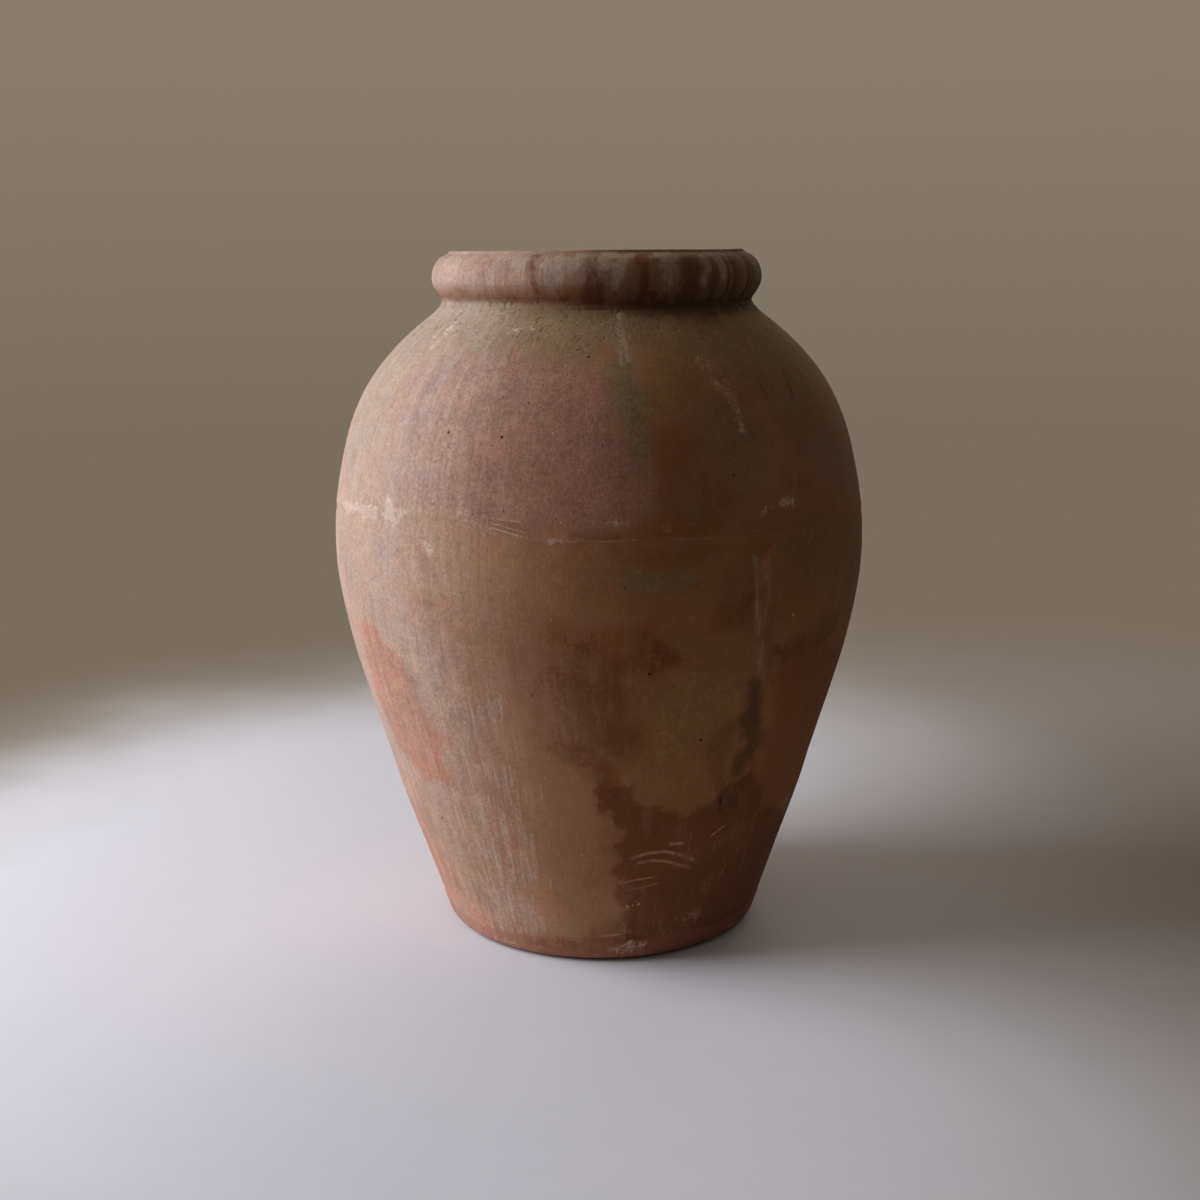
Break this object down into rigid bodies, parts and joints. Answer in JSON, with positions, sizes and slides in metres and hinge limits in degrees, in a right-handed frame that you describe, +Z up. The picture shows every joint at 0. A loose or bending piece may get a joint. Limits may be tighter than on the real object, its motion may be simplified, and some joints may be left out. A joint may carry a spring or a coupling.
{
  "type": "olive jar",
  "caption": "Large terracotta olive jar with a narrow flat foot, leaning wall, broad belly, rounded shoulder, tight neck groove and a heavy rolled rim round an open mouth.",
  "frame": {"origin": "middle of the foot, on the ground", "axes": "+Z up along the jar's axis; -Y towards the side that the picture shows"},
  "size_m": [0.544, 0.544, 0.7],
  "materials": {
    "foot_clay": "unglazed, matte, brick red with pale scuffs",
    "wall_clay": "unglazed, matte, weathered pink and tan with chalky bloom",
    "rim_clay": "unglazed, matte, worn, with dark run marks",
    "inner_clay": "unglazed, matte, clean clay"
  },
  "bodies": {
    "root": {"base_slab": "foot_clay", "lower_body": "wall_clay", "upper_body": "wall_clay", "rim_collar": "rim_clay", "base_joint_coil": "inner_clay", "belly_joint_coil": "inner_clay"}
  },
  "joints": []
}
